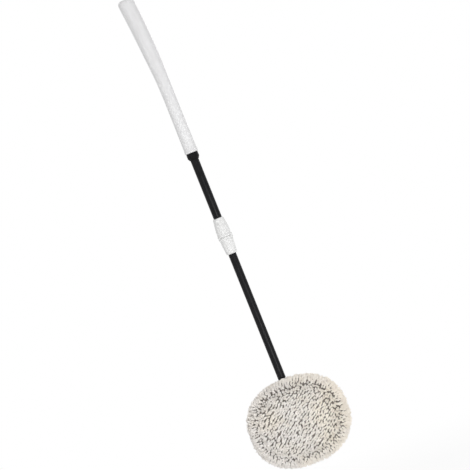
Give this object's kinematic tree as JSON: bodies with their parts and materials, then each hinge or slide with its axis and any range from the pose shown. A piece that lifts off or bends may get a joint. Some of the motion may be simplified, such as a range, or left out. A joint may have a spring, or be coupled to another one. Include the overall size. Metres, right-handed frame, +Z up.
{
  "type": "telescopic car wash brush",
  "caption": "Long-handled wash brush: moulded grip, telescopic pole with a twist lock, and an oval cotton-pile pad that tilts on a clevis.",
  "frame": {"origin": "centre of the grip's flat end face, which a wall clip or hand holds uppermost", "axes": "+Z up along the pole, towards the grip's end; -Y the way the pile faces; X across the head's long axis"},
  "size_m": [0.2299, 0.0674, 1.0999],
  "materials": {
    "soft_white": "soft, matt",
    "hard_white": "moulded, satin",
    "black_plastic": "moulded, satin",
    "black_coat": "satin powder coat",
    "grey_plastic": "moulded",
    "zinc": "zinc plated",
    "foam": "open-cell foam",
    "cotton_pile": "cut cotton yarn pile",
    "cloth": "plain woven backing",
    "elastic": "covered elastic cord"
  },
  "bodies": {
    "handle": {"grip": "soft_white", "grip_ring": "black_plastic", "upper_tube": "black_coat", "upper_tube_plug": "grey_plastic", "lock_body": "hard_white", "lock_collet": "grey_plastic"},
    "lock_ring": {"lock_nut": "hard_white"},
    "lower_pole": {"lower_tube": "black_coat", "guide_plug": "grey_plastic", "head_socket": "black_plastic", "socket_rivet": "zinc"},
    "head": {"head_bracket": "black_plastic", "pivot_bolt": "zinc", "pivot_nut": "zinc", "pivot_washer_left": "zinc", "pivot_washer_right": "zinc", "bracket_screw_1": "zinc", "bracket_screw_2": "zinc", "bracket_screw_3": "zinc", "bracket_screw_4": "zinc", "back_plate": "black_plastic", "foam_pad": "foam", "face_pile": "cotton_pile", "side_pile": "cotton_pile", "cover_skirt": "cloth", "hem_elastic": "elastic"}
  },
  "joints": [
    {"name": "lock_turn", "type": "hinge", "parent": "handle", "child": "lock_ring", "pos_m": [0, 0, -0.566], "axis": [0, 0, 1], "range_deg": [0, 90]},
    {"name": "pole_slide", "type": "slide", "parent": "handle", "child": "lower_pole", "axis": [0, 0, -1], "range_m": [-0.25, 0.12]},
    {"name": "head_tilt", "type": "hinge", "parent": "lower_pole", "child": "head", "pos_m": [0, 0, -1], "axis": [1, 0, 0], "range_deg": [0, 90]}
  ]
}
